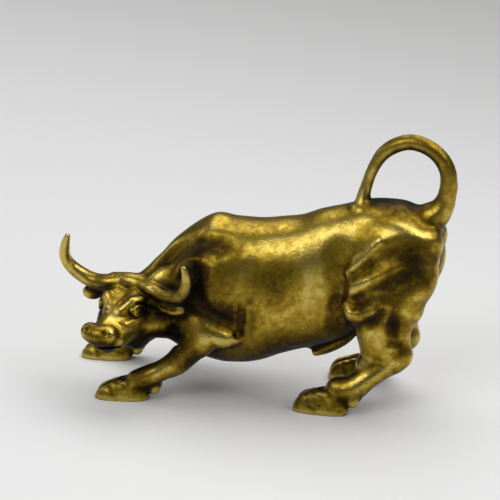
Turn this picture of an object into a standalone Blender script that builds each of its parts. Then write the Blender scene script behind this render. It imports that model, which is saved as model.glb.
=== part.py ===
"""A cast brass bull 140 mm long: head low and turned to its left, legs braced, tail curled into a ring.

The bull is one solid casting. Places on it are given in parts, of which it is 388 long.
X runs towards the tail, so the bull faces -X, Y runs to its right side, and Z is up from the floor.
"""

import math

import bmesh
import bpy
import numpy as np
from mathutils import Matrix

# Driving sizes, in metres

overall_length = 0.140
part = overall_length / 388

# Middle of the bull's length and width, in parts, which is set at X 0 and Y 0

middle_x = 7.0
middle_y = -14.1

# Thicknesses that recur, in parts: the tail's strand, the half width of one claw and that of the cleft

tail_strand = 7.5
claw_width = 7.6
cleft = 2.6

# Fineness of the surface, in parts

coarse_voxel = 4.0
fine_voxel = 3.0
triangle_budget = 9000


def unit(vector):
    return vector / np.linalg.norm(vector)


def frame_along(along):
    """Rows are the given direction, the level direction beside it and the one above it."""
    first = unit(np.array(along, float))
    level = np.cross((0.0, 0.0, 1.0), first)
    if np.linalg.norm(level) < 1e-6:
        level = np.array((0.0, 1.0, 0.0))
    second = unit(level)
    return np.array((first, second, np.cross(first, second)))


def smooth_path(points, steps):
    """Points with radii, joined by a curve that passes through each of them."""
    rows = np.array([(*place, radius) for place, radius in points], float)
    ends = np.vstack((2 * rows[0] - rows[1], rows, 2 * rows[-1] - rows[-2]))
    out = []
    for before, start, end, after in zip(ends, ends[1:], ends[2:], ends[3:]):
        for t in np.arange(steps) / steps:
            out.append(0.5 * (2 * start + (end - before) * t
                              + (2 * before - 5 * start + 4 * end - after) * t ** 2
                              + (3 * start - before - 3 * end + after) * t ** 3))
    out.append(rows[-1])
    return np.array(out)


# The blended form: masses that run into each other, hollows cut from them, and strokes on the surface


class Form:
    def __init__(self):
        self.steps = []

    def mass(self, centre, radii, along=(1, 0, 0), blend=6.0):
        self.steps.append(("add", Ellipsoid(centre, radii, along), blend))

    def limb(self, points, blend=4.0, steps=6):
        self.steps.append(("add", Limb(smooth_path(points, steps)), blend))

    def add(self, shape, blend):
        self.steps.append(("add", shape, blend))

    def hollow(self, centre, radii, along=(1, 0, 0), blend=3.0):
        self.steps.append(("cut", Ellipsoid(centre, radii, along), blend))

    def slot(self, points, blend=1.5, steps=4):
        self.steps.append(("cut", Limb(smooth_path(points, steps)), blend))

    def stroke(self, points, height, steps=4):
        """Raises the surface along a path by height, or lowers it where height is negative."""
        self.steps.append(("stroke", Limb(smooth_path(points, steps)), height))

    def distance(self, points):
        """How far each point lies outside the blended form, and below 0 inside it."""
        found = np.full(len(points), 1e3)
        for kind, shape, amount in self.steps:
            reach = {"add": 2.5 * abs(amount) + 8, "cut": 2.5 * abs(amount) + 2, "stroke": 0}[kind]
            low, high = shape.box(reach)
            near = np.flatnonzero(((points > low) & (points < high)).all(axis=1))
            if not len(near):
                continue
            if kind == "stroke":
                found[near] -= amount * shape.weight(points[near])
                continue
            there = shape.distance(points[near])
            here = found[near]
            if kind == "add":
                share = np.clip(0.5 + 0.5 * (here - there) / amount, 0, 1)
                found[near] = here * (1 - share) + there * share - amount * share * (1 - share)
            else:
                share = np.clip(0.5 - 0.5 * (here + there) / amount, 0, 1)
                found[near] = here * (1 - share) - there * share + amount * share * (1 - share)
        return found


class Ellipsoid:
    def __init__(self, centre, radii, along):
        self.centre = np.array(centre, float)
        self.radii = np.array(radii, float)
        self.frame = frame_along(along)

    def box(self, reach):
        half = np.sqrt(((self.frame * self.radii[:, None]) ** 2).sum(axis=0)) + reach
        return self.centre - half, self.centre + half

    def distance(self, points):
        local = (points - self.centre) @ self.frame.T
        size = np.linalg.norm(local / self.radii, axis=1)
        slope = np.linalg.norm(local / self.radii ** 2, axis=1)
        return np.where(slope > 1e-9, size * (size - 1) / np.maximum(slope, 1e-9), -self.radii.min())

    def balls(self):
        turn = Matrix(self.frame.T.tolist()).to_4x4()
        return [Matrix.Translation(self.centre) @ turn @ Matrix.Diagonal((*self.radii, 1))]


class Limb:
    """A round rod along a path whose radius changes on the way."""

    def __init__(self, rows):
        self.rows = rows

    def box(self, reach):
        widest = self.rows[:, 3:] + reach
        return (self.rows[:, :3] - widest).min(axis=0), (self.rows[:, :3] + widest).max(axis=0)

    def nearest(self, points):
        """For each point, its distance from the path's nearest place and the radius there."""
        place, radii = self.rows[:, :3], self.rows[:, 3]
        spread = (points ** 2).sum(axis=1)[:, None] + (place ** 2).sum(axis=1) - 2 * points @ place.T
        first = (np.sqrt(np.maximum(spread, 0)) - radii).argmin(axis=1)
        gap = wide = None
        for index in (np.maximum(first - 1, 0), np.minimum(first, len(place) - 2)):
            start, run = place[index], place[index + 1] - place[index]
            share = np.clip(((points - start) * run).sum(axis=1) / np.maximum((run ** 2).sum(axis=1), 1e-9), 0, 1)
            off = np.linalg.norm(points - start - share[:, None] * run, axis=1)
            radius = radii[index] + share * (radii[index + 1] - radii[index])
            if gap is None:
                gap, wide = off, radius
            else:
                closer = off - radius < gap - wide
                gap, wide = np.where(closer, off, gap), np.where(closer, radius, wide)
        return gap, wide

    def distance(self, points):
        gap, wide = self.nearest(points)
        return gap - wide

    def weight(self, points):
        """1 on the path, falling smoothly to 0 one radius away."""
        gap, wide = self.nearest(points)
        share = np.clip(1 - gap / wide, 0, 1)
        return share * share * (3 - 2 * share)

    def balls(self):
        out = []
        for start, end in zip(self.rows, self.rows[1:]):
            count = max(1, math.ceil(np.linalg.norm(end[:3] - start[:3]) / (0.5 * min(start[3], end[3]))))
            for share in np.arange(count + 1) / count:
                x, y, z, radius = start + (end - start) * share
                out.append(Matrix.Translation((x, y, z)) @ Matrix.Scale(radius, 4))
        return out


class Barrel:
    """The trunk, by upright oval sections at stations along X: x, height of its middle, half width, half height."""

    def __init__(self, stations, fullness=2.2):
        self.stations = np.array(stations, float)
        self.fullness = fullness

    def box(self, reach):
        x, middle, half_width, half_height = self.stations.T
        low = (x.min(), -half_width.max(), (middle - half_height).min())
        high = (x.max(), half_width.max(), (middle + half_height).max())
        return np.array(low) - reach, np.array(high) + reach

    def section(self, x):
        """The section's middle and half sizes at x, eased between the stations."""
        at = self.stations[:, 0]
        index = np.clip(np.searchsorted(at, x) - 1, 0, len(at) - 2)
        t = np.clip((x - at[index]) / (at[index + 1] - at[index]), 0, 1)[:, None]
        slopes = np.gradient(self.stations[:, 1:], at, axis=0)
        span = (at[index + 1] - at[index])[:, None]
        a, b = self.stations[index, 1:], self.stations[index + 1, 1:]
        return (a * (1 + 2 * t) * (1 - t) ** 2 + b * t ** 2 * (3 - 2 * t)
                + slopes[index] * span * t * (1 - t) ** 2 - slopes[index + 1] * span * t ** 2 * (1 - t))

    def distance(self, points):
        x = np.clip(points[:, 0], self.stations[0, 0], self.stations[-1, 0])
        middle, half_width, half_height = self.section(x).T
        y = np.abs(points[:, 1]) / half_width
        z = np.abs(points[:, 2] - middle) / half_height
        n = self.fullness
        size = (y ** n + z ** n) ** (1 / n)
        slope = np.hypot(y ** (n - 1) / half_width, z ** (n - 1) / half_height) / np.maximum(size, 1e-6) ** (n - 1)
        across = (size - 1) / np.maximum(slope, 1e-6)
        beyond = np.abs(points[:, 0] - x)
        return np.where(beyond > 0, np.hypot(np.maximum(across, 0), beyond), across)

    def balls(self):
        out = []
        for x in np.linspace(self.stations[0, 0], self.stations[-1, 0], 40):
            middle, half_width, half_height = self.section(np.array([x]))[0]
            out.append(Matrix.Translation((x, 0, middle)) @ Matrix.Diagonal((8, half_width, half_height, 1)))
        return out


# Where the head sits: the middle of the poll, in parts, and how the head is turned

poll = np.array((-114.5, -25.2, 113.0))
head_turn = math.radians(73)
head_pitch = math.radians(26)


def head_frame():
    """Rows point along the nose, to the head's left and up from the forehead."""
    nose_level = np.array((-math.cos(head_turn), -math.sin(head_turn), 0.0))
    left = np.array((math.sin(head_turn), -math.cos(head_turn), 0.0))
    nose = nose_level * math.cos(head_pitch) - np.array((0.0, 0.0, 1.0)) * math.sin(head_pitch)
    return np.array((nose, left, np.cross(nose, left)))


def on_head(forward, left, up):
    return poll + np.array((forward, left, up)) @ head_frame()


def along_head(forward, left, up):
    return np.array((forward, left, up)) @ head_frame()


def head_path(points):
    return [(on_head(*place), radius) for place, radius in points]


def build_trunk(form):
    form.add(Barrel([
        (-88, 105, 18, 22), (-75, 106, 33, 38), (-60, 108, 42, 54), (-46, 108.5, 46, 65.5), (-35, 107.5, 48, 71.5),
        (-16, 104.5, 48.5, 74), (14, 106.5, 48, 72), (33, 112, 46.5, 69.5), (51, 116.7, 45, 68), (69, 123, 43, 69),
        (92, 131, 41, 67.5), (116, 144.5, 40, 61), (134, 152, 38.5, 55), (158, 158.5, 34, 45.5),
        (174, 161, 26, 33), (186, 162, 14, 18),
    ]), blend=8)
    # Sheath under the belly: a thin web with its tip forward
    form.limb([((106, 0, 74), 7), ((93, 0, 60), 7), ((78, 0, 50), 6.3), ((67, -1, 44), 4.2)], blend=4)
    form.limb([((96, 0, 78), 8), ((76, 0, 62), 7), ((61, 0, 54), 6)], blend=6)


def build_neck(form):
    form.mass((-72, -6, 101), (32, 29, 38), along=(-0.9, -0.2, -0.1), blend=9)
    form.mass((-95, -15, 90), (26, 22, 30), along=(-0.85, -0.45, -0.1), blend=8)
    # Crest from the withers to the poll
    form.limb([((-30, 0, 161), 19), ((-45, -1, 155), 17), ((-56, -3, 149.5), 15.5), ((-68, -6, 140.5), 14),
               ((-82, -9, 126), 12), ((-96, -14, 114), 10.5), ((-109, -19, 105), 10)], blend=7)
    # Flat muscle between the crest and the near horn
    form.mass((-79, -25, 113), (24, 10, 17), along=(-0.8, -0.25, -0.55), blend=6)
    # Throat and brisket
    form.limb([((-96, -33, 75), 15), ((-86, -26, 74.5), 17), ((-71, -18, 71), 18), ((-50, -8, 57), 20),
               ((-28, -2, 52), 20)], blend=12)


def build_shoulders(form):
    for side in (-1, 1):
        form.mass((-30, side * 31, 117), (26, 17.5, 41), along=(1, 0, -0.28), blend=14)
        form.mass((-53, side * 30, 90), (17, 13, 22), along=(1, 0, -0.5), blend=8)
        # Upper arm from the point of the shoulder back to the elbow
        form.limb([((-57, side * 33, 84), 14), ((-42, side * 41, 79), 15.5), ((-20, side * 45, 71), 11.5),
                   ((-8, side * 43, 69), 6.5)], blend=6)


def build_head(form):
    nose = along_head(1, 0, 0)
    form.mass(on_head(12, 0, -23), (24, 22, 21), along=nose, blend=8)
    for side in (-1, 1):
        # Forehead
        form.limb(head_path([((0, side * 11, -9), 9), ((16, side * 11, -10), 10), ((30, side * 9, -12), 9)]), blend=5)
        # Cheek, down to the jaw, and the flat side of the nose
        form.mass(on_head(21, side * 13, -36), (27, 11.5, 24), along=along_head(1, 0, 0.25), blend=7)
        form.limb(head_path([((30, side * 15, -24), 8.5), ((46, side * 12.5, -23), 9.5), ((60, side * 11, -18), 9.5)]), blend=6)
        # Eye: a hollow under the brow, and the ball in it
        slant = along_head(0.8, -0.2 * side, 0.48)
        form.hollow(on_head(27, side * 23, -8.5), (14, 7, 7), along=slant, blend=4)
        form.limb(head_path([((10, side * 20.5, -8), 3.5), ((17, side * 19, -4), 4), ((25, side * 14, -1), 4.5),
                             ((34, side * 8.5, -3.5), 3.5)]), blend=4)
        form.mass(on_head(26.5, side * 18.5, -9), (9, 5, 6), along=slant, blend=1.5)
        # Cheek bone running forward below the eye
        form.limb(head_path([((14, side * 22, -22), 3.5), ((28, side * 21, -18), 3.5), ((40, side * 16, -14), 3.5),
                             ((50, side * 11, -11), 3)]), blend=4)
    # Bridge of the nose
    form.limb(head_path([((30, 0, -11.5), 12), ((44, 0, -14), 11.5), ((58, 0, -13), 11)]), blend=6)
    form.limb(head_path([((32, 0, -22), 14), ((48, 0, -22), 13), ((62, 0, -18), 12)]), blend=8)
    # Muzzle: one broad pad, with the nostrils cut from its upper corners
    form.limb(head_path([((66, -12, -7.5), 9.5), ((69.5, -2, -6.5), 10), ((66, 8, -7.5), 9.5)]), blend=4)
    for side in (-1, 1):
        form.hollow(on_head(72, side * 11 - 1.5, 1.5), (4, 2.4, 3), along=along_head(0.8, side * 0.5, 0.4), blend=2)
    # Lips and lower jaw, with the mouth between them
    form.limb(head_path([((57, -9, -25), 5.6), ((64, -1.5, -27), 6), ((57, 7, -25), 5.6)]), blend=2)
    form.limb(head_path([((57, 0, -27), 9.5), ((42, 0, -33), 11.5), ((24, 0, -43), 14.5), ((6, 0, -52), 16)]), blend=6)
    form.slot(head_path([((66, -19, -19.5), 2), ((72, -11, -19), 2.6), ((74, -1.5, -19), 2.8), ((71, 8, -19.5), 2.6),
                         ((65, 15.5, -20.5), 2)]), blend=1.5)
    # Poll between the horns
    form.limb(head_path([((-1, -20, -4), 8.5), ((-2, 0, -2.5), 9.5), ((-3, 19, -5), 8.5)]), blend=4)


def build_horns_and_ears(form):
    far = [((1, -15, -3.5), 8.5), ((4.6, -25, -3), 8.6), ((5.3, -37, -3.4), 8.2), ((6, -46.5, 0), 7.7), ((6.7, -57, 8.7), 7),
           ((7, -62.7, 17.5), 6.3), ((7, -64, 28.5), 5.6), ((5.7, -60, 42), 4.8), ((4.4, -54.2, 54.5), 3)]
    near = [((-1, 13, -3.5), 8.5), ((2.6, 22, -2), 7.8), ((4, 30, -2.3), 7), ((7, 38.8, -2.5), 6.4), ((8.6, 49.8, -0.5), 6.1),
            ((9.3, 62, 4.6), 6.1), ((7.3, 70.2, 15.4), 5.7), ((4, 72.6, 27.8), 4.5), ((2, 71.2, 37.5), 2.8)]
    for path in (far, near):
        form.limb(head_path(path), blend=2.5)
    # Near ear: a stalk and a flat leaf, close under its horn
    form.limb(head_path([((8, 19, -15), 6), ((11, 32, -13), 4.6), ((13, 42, -12), 4.6)]), blend=4)
    form.mass(on_head(13.5, 51, -12), (14.5, 4.8, 6.5), along=along_head(0.02, 1, 0.06), blend=3.5)
    # Far ear, seen end on
    form.limb(head_path([((4, -20, -16), 6), ((6, -34, -16), 5)]), blend=3)
    form.mass(on_head(9, -44, -16), (11, 6, 8), along=along_head(0.2, -1, -0.1), blend=3)


def build_forelegs(form):
    near = [((-42, -38, 82), 19), ((-41, -43, 68), 18.5), ((-49, -46, 58), 15.5), ((-56, -48, 49), 13.5),
            ((-64, -49, 40.5), 12.3), ((-78, -50, 32), 10.3), ((-90, -50, 25.5), 11), ((-103, -50, 19.5), 10.5)]
    far = [((-45, 38, 80), 20), ((-52, 42, 69), 18), ((-66, 47, 61), 14.5), ((-80, 50, 53), 12.5),
           ((-91, 51, 46), 11.5), ((-108, 51, 36), 9.5), ((-124, 50, 27), 11), ((-141, 49, 19.5), 10.5)]
    for path in (near, far):
        form.limb(path, blend=6)
    build_hoof(form, (-118, -48.5), heading=183, tall=1.0, toe=11)
    build_hoof(form, (-160, 49), heading=180, tall=0.95, toe=11)


def build_hind_legs(form):
    for side, hoof_x, hoof_y in ((-1, 80, -41), (1, 99, 48)):
        # Thigh: rump, quadriceps and hamstring
        form.mass((148, side * 26, 149), (40, 22, 45), along=(1, 0, 0.2), blend=8)
        form.mass((126, side * 37, 128), (27, 14, 36), along=(1, 0, -0.25), blend=8)
        form.limb([((168, side * 24, 164), 17), ((168, side * 27, 138), 18), ((158.5, side * 28, 114), 15)], blend=7)
        # Stifle, a rounded knob at the front of the thigh
        form.limb([((104, side * 41, 112), 8), ((114, side * 43, 106), 10.5), ((128, side * 45, 110), 7.5)], blend=7)
        # Shin, and behind it the tendon down to the point of the hock
        form.limb([((130, side * 32, 114), 21), ((128, side * 31, 94), 18.5), ((130, side * 30, 79), 16.5),
                   ((135, side * 28, 67), 15), ((144, side * 27, 58), 13)], blend=7)
        form.limb([((126, side * 31, 84), 13), ((126, side * 30, 70), 11.5), ((126, side * 31, 58), 10.5),
                   ((122, side * 34, 48), 10)], blend=5)
        form.limb([((161, side * 28, 106), 14), ((155, side * 28, 88), 10.5), ((155, side * 26, 74), 9),
                   ((157, side * 24, 60), 8.5)], blend=9)
        form.mass((151, side * 25, 55.5), (15, 12, 13), along=(1, 0, 0.3), blend=5)
        # Knob on the outside of the hock
        form.mass((145, side * 35, 69), (8, 5, 6), along=(1, 0, -0.2), blend=4)
        # Cannon, fetlock and pastern
        ahead = hoof_x - 80
        form.limb([((146, side * 26, 51), 13), ((135 + ahead * 0.3, side * 32, 44.5), 11.5),
                   ((123 + ahead * 0.6, side * 38, 36), 11.5), ((110 + ahead, hoof_y, 26), 13),
                   ((96 + ahead, hoof_y, 23.5), 12.5)], blend=4)
        build_hoof(form, (hoof_x, hoof_y), heading=180 + side * 5, tall=1.15, toe=16)
    # Hip bones, running back to the pin bones either side of the tail
    for side in (-1, 1):
        form.mass((179.5, side * 15.5, 171), (11, 10, 15), blend=7)
        form.limb([((118, side * 13, 188), 9), ((139, side * 20, 184), 10), ((158, side * 23, 180), 10.5),
                   ((172, side * 20, 175), 11), ((178, side * 15, 170), 10)], blend=8)


def build_hoof(form, foot, heading, tall, toe):
    """Two claws side by side with a cleft between them, toe high in front, and two dewclaws behind."""
    x, y = foot
    turn = math.radians(heading)
    ahead = np.array((math.cos(turn), math.sin(turn), 0.0))
    beside = np.array((-math.sin(turn), math.cos(turn), 0.0))
    up = np.array((0.0, 0.0, tall))
    middle = np.array((x, y, 0.0))
    slope = tuple(ahead + (0, 0, -0.35))
    for side in (-1, 1):
        claw = middle + beside * side * claw_width * 0.75
        form.mass(claw + up * 2, (28, claw_width, 17.5 * tall), along=slope, blend=2)
        form.mass(claw + ahead * 12 + up * 2, (15, claw_width, toe), along=ahead, blend=3)
    form.mass(middle - ahead * 9 + up * 14, (14, 11.8, 9), along=slope, blend=3)
    form.slot([(middle + ahead * 32 - up * 2, cleft), (middle + ahead * 18 + up * 11, cleft * 0.92),
               (middle + ahead * 5 + up * 19.5, cleft * 0.62)], blend=2)
    for side in (-1, 1):
        form.mass(middle - ahead * 33 + beside * side * 6 + up * 13, (5.5, 4.2, 6.5), along=(ahead[0], ahead[1], 0.8), blend=4)


def build_tail(form):
    strand = tail_strand
    form.limb([
        ((163, 0, 180), 18), ((175, 0, 190), 16), ((185, 0, 199), 12.3), ((190.5, 0, 211), strand * 1.25),
        ((193, 0, 226), strand * 1.1), ((191, 0, 241), strand * 1.04), ((183, 0, 254), strand), ((170, 0, 263), strand),
        ((155, 0, 266), strand), ((140, 0, 261), strand * 0.94), ((128, 0, 251), strand * 0.85),
        ((119.5, 0, 236), strand * 0.76), ((114.5, -1, 221), strand * 0.76), ((111.5, -4, 208), strand * 0.9),
        ((111, -7, 200), strand),
    ], blend=7)
    # Foot of the tail: a collar round it where it meets the back, with a knob on the near side
    form.limb([((104, -8, 201), 3.4), ((109, -14, 199), 3.4), ((116, -12, 199.5), 3.4), ((119, -5, 201), 3.4)], blend=2.5)
    form.mass((110, -13, 195), (5.5, 4.5, 6.5), blend=3)


def carve_muscles(form):
    """Hollows and ridges that show from a step away."""
    for side in (-1, 1):
        # Flank groove before the thigh, with a pit at its foot
        form.stroke([((84, side * 50, 204), 14), ((92, side * 42, 166), 18), ((96, side * 42, 140), 18),
                     ((96, side * 41, 118), 17), ((93, side * 36, 96), 15), ((90, side * 28, 78), 13)], -3.8)
        form.stroke([((92, side * 42, 112), 9), ((94, side * 40, 104), 10)], -3)
        # Thigh: the upper ridge with its hollow under the hip, then the lower ridge and the deep furrow under it
        form.stroke([((103, side * 41, 146), 9), ((114, side * 43, 157), 11), ((125, side * 42, 169), 10),
                     ((133, side * 40, 178), 7)], 2.6)
        form.stroke([((110, side * 46, 143), 8), ((126, side * 48, 156), 13), ((144, side * 46, 169), 17),
                     ((166, side * 39, 172), 18), ((184, side * 34, 168), 14)], -3.5)
        form.stroke([((106, side * 48, 129), 12), ((125, side * 53, 139), 18), ((150, side * 50, 149), 20)], 1.6)
        form.stroke([((110, side * 52, 117), 10), ((132, side * 54, 127), 17), ((154, side * 50, 136), 21),
                     ((174, side * 44, 148), 19)], -5)
        # Below the stifle
        form.stroke([((124, side * 51, 95), 9), ((132, side * 51, 101), 11), ((138, side * 50, 110), 10)], -2.5)
        # Behind the shoulder, from the ribs down to the elbow
        form.stroke([((10, side * 55, 172), 13), ((9, side * 47, 140), 13), ((7, side * 50, 116), 12)], -3)
        form.stroke([((6, side * 56, 128), 6), ((3, side * 51, 108), 6), ((1, side * 48, 90), 6), ((-2, side * 45, 74), 6)], -3.6)
        # Above the upper arm
        form.stroke([((-34, side * 54, 99), 12), ((-23, side * 53, 92), 12), ((-8, side * 52, 86), 10)], -3)
        # Rim of the shoulder, and the broad hollow under it
        form.stroke([((-64, side * 32, 128), 7), ((-60, side * 35, 137), 7), ((-50, side * 38, 143), 7.5),
                     ((-38, side * 41, 144), 8), ((-27, side * 43, 140), 8)], 4)
        form.stroke([((-56, side * 39, 129), 13), ((-47, side * 43, 122), 17), ((-41, side * 47, 106), 16)], -5)
        # Long hollow under the crest, over the top of the shoulder
        form.stroke([((-84, side * 15, 128), 10), ((-66, side * 20, 143), 14), ((-46, side * 25, 154), 18),
                     ((-22, side * 31, 158), 18)], -3.5)
        # Inside of the elbow
        form.stroke([((-66, side * 42, 70), 11), ((-58, side * 46, 62), 12)], -6)


def bull_form():
    form = Form()
    build_trunk(form)
    build_neck(form)
    build_shoulders(form)
    build_forelegs(form)
    build_hind_legs(form)
    carve_muscles(form)
    build_head(form)
    build_horns_and_ears(form)
    build_tail(form)
    return form


# From the form to one closed mesh


def blockout(form):
    """Overlapping balls that fill every mass of the form."""
    ball = bmesh.new()
    bmesh.ops.create_icosphere(ball, subdivisions=2, radius=1)
    points = np.array([(*vert.co, 1) for vert in ball.verts])
    faces = np.array([[vert.index for vert in face.verts] for face in ball.faces])
    ball.free()
    places = [np.array(place) for kind, shape, _ in form.steps if kind == "add" for place in shape.balls()]
    verts = np.concatenate([(points @ place.T)[:, :3] for place in places])
    loops = np.concatenate([faces + index * len(points) for index in range(len(places))])
    data = bpy.data.meshes.new("blockout")
    data.from_pydata(verts.tolist(), [], loops.tolist())
    return data


def remeshed(name, data, voxel):
    """The outer skin of the data's overlapping bodies, as one even mesh."""
    holder = bpy.data.objects.new(name, data)
    bpy.context.scene.collection.objects.link(holder)
    skin = holder.modifiers.new("skin", "REMESH")
    skin.mode = "VOXEL"
    skin.voxel_size = voxel
    graph = bpy.context.evaluated_depsgraph_get()
    made = bpy.data.meshes.new_from_object(holder.evaluated_get(graph))
    bpy.data.objects.remove(holder)
    return made


def settle(data, form, rounds):
    """Moves the mesh's points along their normals onto the blended form."""
    count = len(data.vertices)
    points = np.empty(count * 3)
    normals = np.empty(count * 3, np.float32)
    for _ in range(rounds):
        data.vertices.foreach_get("co", points)
        data.update()
        data.vertices.foreach_get("normal", normals)
        place = points.reshape(-1, 3)
        off = np.clip(form.distance(place), -3, 3)
        moved = place - 0.8 * off[:, None] * normals.reshape(-1, 3)
        data.vertices.foreach_set("co", moved.ravel())
    data.update()


def smoothed(data, rounds, share=0.5):
    """Evens the mesh a little, so that no triangle stays thin or folded."""
    mesh = bmesh.new()
    mesh.from_mesh(data)
    for _ in range(rounds):
        bmesh.ops.smooth_vert(mesh, verts=mesh.verts, factor=share, use_axis_x=True, use_axis_y=True, use_axis_z=True)
    mesh.to_mesh(data)
    mesh.free()


def reduced(name, data, triangles):
    """The mesh with edges collapsed where it is flattest, down to this many triangles."""
    holder = bpy.data.objects.new(name, data)
    bpy.context.scene.collection.objects.link(holder)
    fewer = holder.modifiers.new("fewer", "DECIMATE")
    data.calc_loop_triangles()
    fewer.ratio = triangles / len(data.loop_triangles)
    graph = bpy.context.evaluated_depsgraph_get()
    made = bpy.data.meshes.new_from_object(holder.evaluated_get(graph))
    bpy.data.objects.remove(holder)
    return made


def stand_on_floor(data):
    """Cuts the hooves level at height 0, so that their soles are flat."""
    mesh = bmesh.new()
    mesh.from_mesh(data)
    everything = [*mesh.verts, *mesh.edges, *mesh.faces]
    bmesh.ops.bisect_plane(mesh, geom=everything, dist=0.15, plane_co=(0, 0, 0), plane_no=(0, 0, 1), clear_inner=True)
    rim = [edge for edge in mesh.edges if edge.is_boundary]
    bmesh.ops.holes_fill(mesh, edges=rim, sides=0)
    bmesh.ops.triangulate(mesh, faces=mesh.faces)
    mesh.to_mesh(data)
    mesh.free()


def clear_scene():
    for obj in list(bpy.data.objects):
        bpy.data.objects.remove(obj)


def bull_mesh(form, coarse, fine, triangles):
    data = remeshed("skin", blockout(form), coarse)
    for _ in range(4):
        settle(data, form, 2)
        smoothed(data, 1)
    settle(data, form, 1)
    data = remeshed("skin", data, fine)
    for _ in range(2):
        settle(data, form, 2)
        smoothed(data, 1)
    settle(data, form, 2)
    data = reduced("skin", data, triangles)
    stand_on_floor(data)
    return data


def brass():
    """Yellow brass as it shows where the casting is worn clean."""
    material = bpy.data.materials.new("brass")
    material.use_nodes = True
    shader = material.node_tree.nodes["Principled BSDF"]
    shader.inputs["Base Color"].default_value = (0.37, 0.25, 0.03, 1)
    shader.inputs["Metallic"].default_value = 1.0
    shader.inputs["Roughness"].default_value = 0.29
    return material


def build_bull():
    data = bull_mesh(bull_form(), coarse_voxel, fine_voxel, triangle_budget)
    data.transform(Matrix.Scale(part, 4) @ Matrix.Translation((-middle_x, -middle_y, 0)))
    data.materials.append(brass())
    data.shade_smooth()
    data.set_sharp_from_angle(angle=math.radians(60))
    bull = bpy.data.objects.new("bull", data)
    sculpture = bpy.data.collections.new("bull sculpture")
    bpy.context.scene.collection.children.link(sculpture)
    sculpture.objects.link(bull)
    return bull


if __name__ == "__main__":
    clear_scene()
    build_bull()
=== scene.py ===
# A small cast brass bull, dressed round its imported solid: a fine surface, brass with dark patina
# and painted shade in its recesses, the floor, the lights and the camera.

import math

import bmesh
import bpy
import numpy as np
from mathutils import Matrix, Vector


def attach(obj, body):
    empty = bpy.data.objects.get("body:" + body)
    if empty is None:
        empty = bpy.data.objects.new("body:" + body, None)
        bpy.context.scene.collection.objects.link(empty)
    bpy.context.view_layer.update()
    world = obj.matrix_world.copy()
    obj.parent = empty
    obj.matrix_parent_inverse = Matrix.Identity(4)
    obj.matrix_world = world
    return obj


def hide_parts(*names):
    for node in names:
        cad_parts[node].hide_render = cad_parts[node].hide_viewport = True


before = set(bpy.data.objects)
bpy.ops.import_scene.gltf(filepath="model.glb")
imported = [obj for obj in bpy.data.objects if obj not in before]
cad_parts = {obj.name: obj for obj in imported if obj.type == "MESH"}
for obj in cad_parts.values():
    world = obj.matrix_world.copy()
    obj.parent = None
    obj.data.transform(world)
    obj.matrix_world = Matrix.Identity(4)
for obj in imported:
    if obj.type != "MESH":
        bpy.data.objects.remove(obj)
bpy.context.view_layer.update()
print("frame loaded")

# Places are in parts, 388 to the bull's length. X runs to the tail, Y to its right side and Z up
# from the floor.
sizes = {
    "part": 0.140 / 388,  # metres
    "middle": (7.0, -14.1),  # the place that stands at X 0 and Y 0
    "tailStrand": 7.5,  # half the tail's thickness
    "claw": 7.6,  # half the width of one claw
    "cleft": 2.6,
}
tailStrand = sizes["tailStrand"]
clawWidth = sizes["claw"]
cleft = sizes["cleft"]

head = {
    "poll": (-114.5, -25.2, 113.0),
    "turn": 73,  # degrees to the bull's left
    "pitch": 26,  # degrees down
}

hooves = {
    # Name: where it stands, heading in degrees, how tall, how high the toe
    "nearFore": ((-118, -48.5), 183, 1.0, 11),
    "farFore": ((-160, 49), 180, 0.95, 11),
    "nearHind": ((80, -41), 175, 1.15, 16),
    "farHind": ((99, 48), 185, 1.15, 16),
}

poll = np.array(head["poll"])
headTurn = math.radians(head["turn"])
headPitch = math.radians(head["pitch"])


def unit(vector):
    return vector / np.linalg.norm(vector)


def frameAlong(along):
    # Rows are the given direction, the level direction beside it and the one above it.
    first = unit(np.array(along, float))
    level = np.cross((0.0, 0.0, 1.0), first)
    if np.linalg.norm(level) < 1e-6:
        level = np.array((0.0, 1.0, 0.0))
    second = unit(level)
    return np.array((first, second, np.cross(first, second)))


def smoothPath(points, steps):
    # Points with radii, joined by a curve that passes through each of them.
    rows = np.array([(*place, radius) for place, radius in points], float)
    ends = np.vstack((2 * rows[0] - rows[1], rows, 2 * rows[-1] - rows[-2]))
    out = []
    for before, start, end, after in zip(ends, ends[1:], ends[2:], ends[3:]):
        for t in np.arange(steps) / steps:
            out.append(0.5 * (2 * start + (end - before) * t
                              + (2 * before - 5 * start + 4 * end - after) * t ** 2
                              + (3 * start - before - 3 * end + after) * t ** 3))
    out.append(rows[-1])
    return np.array(out)


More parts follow.
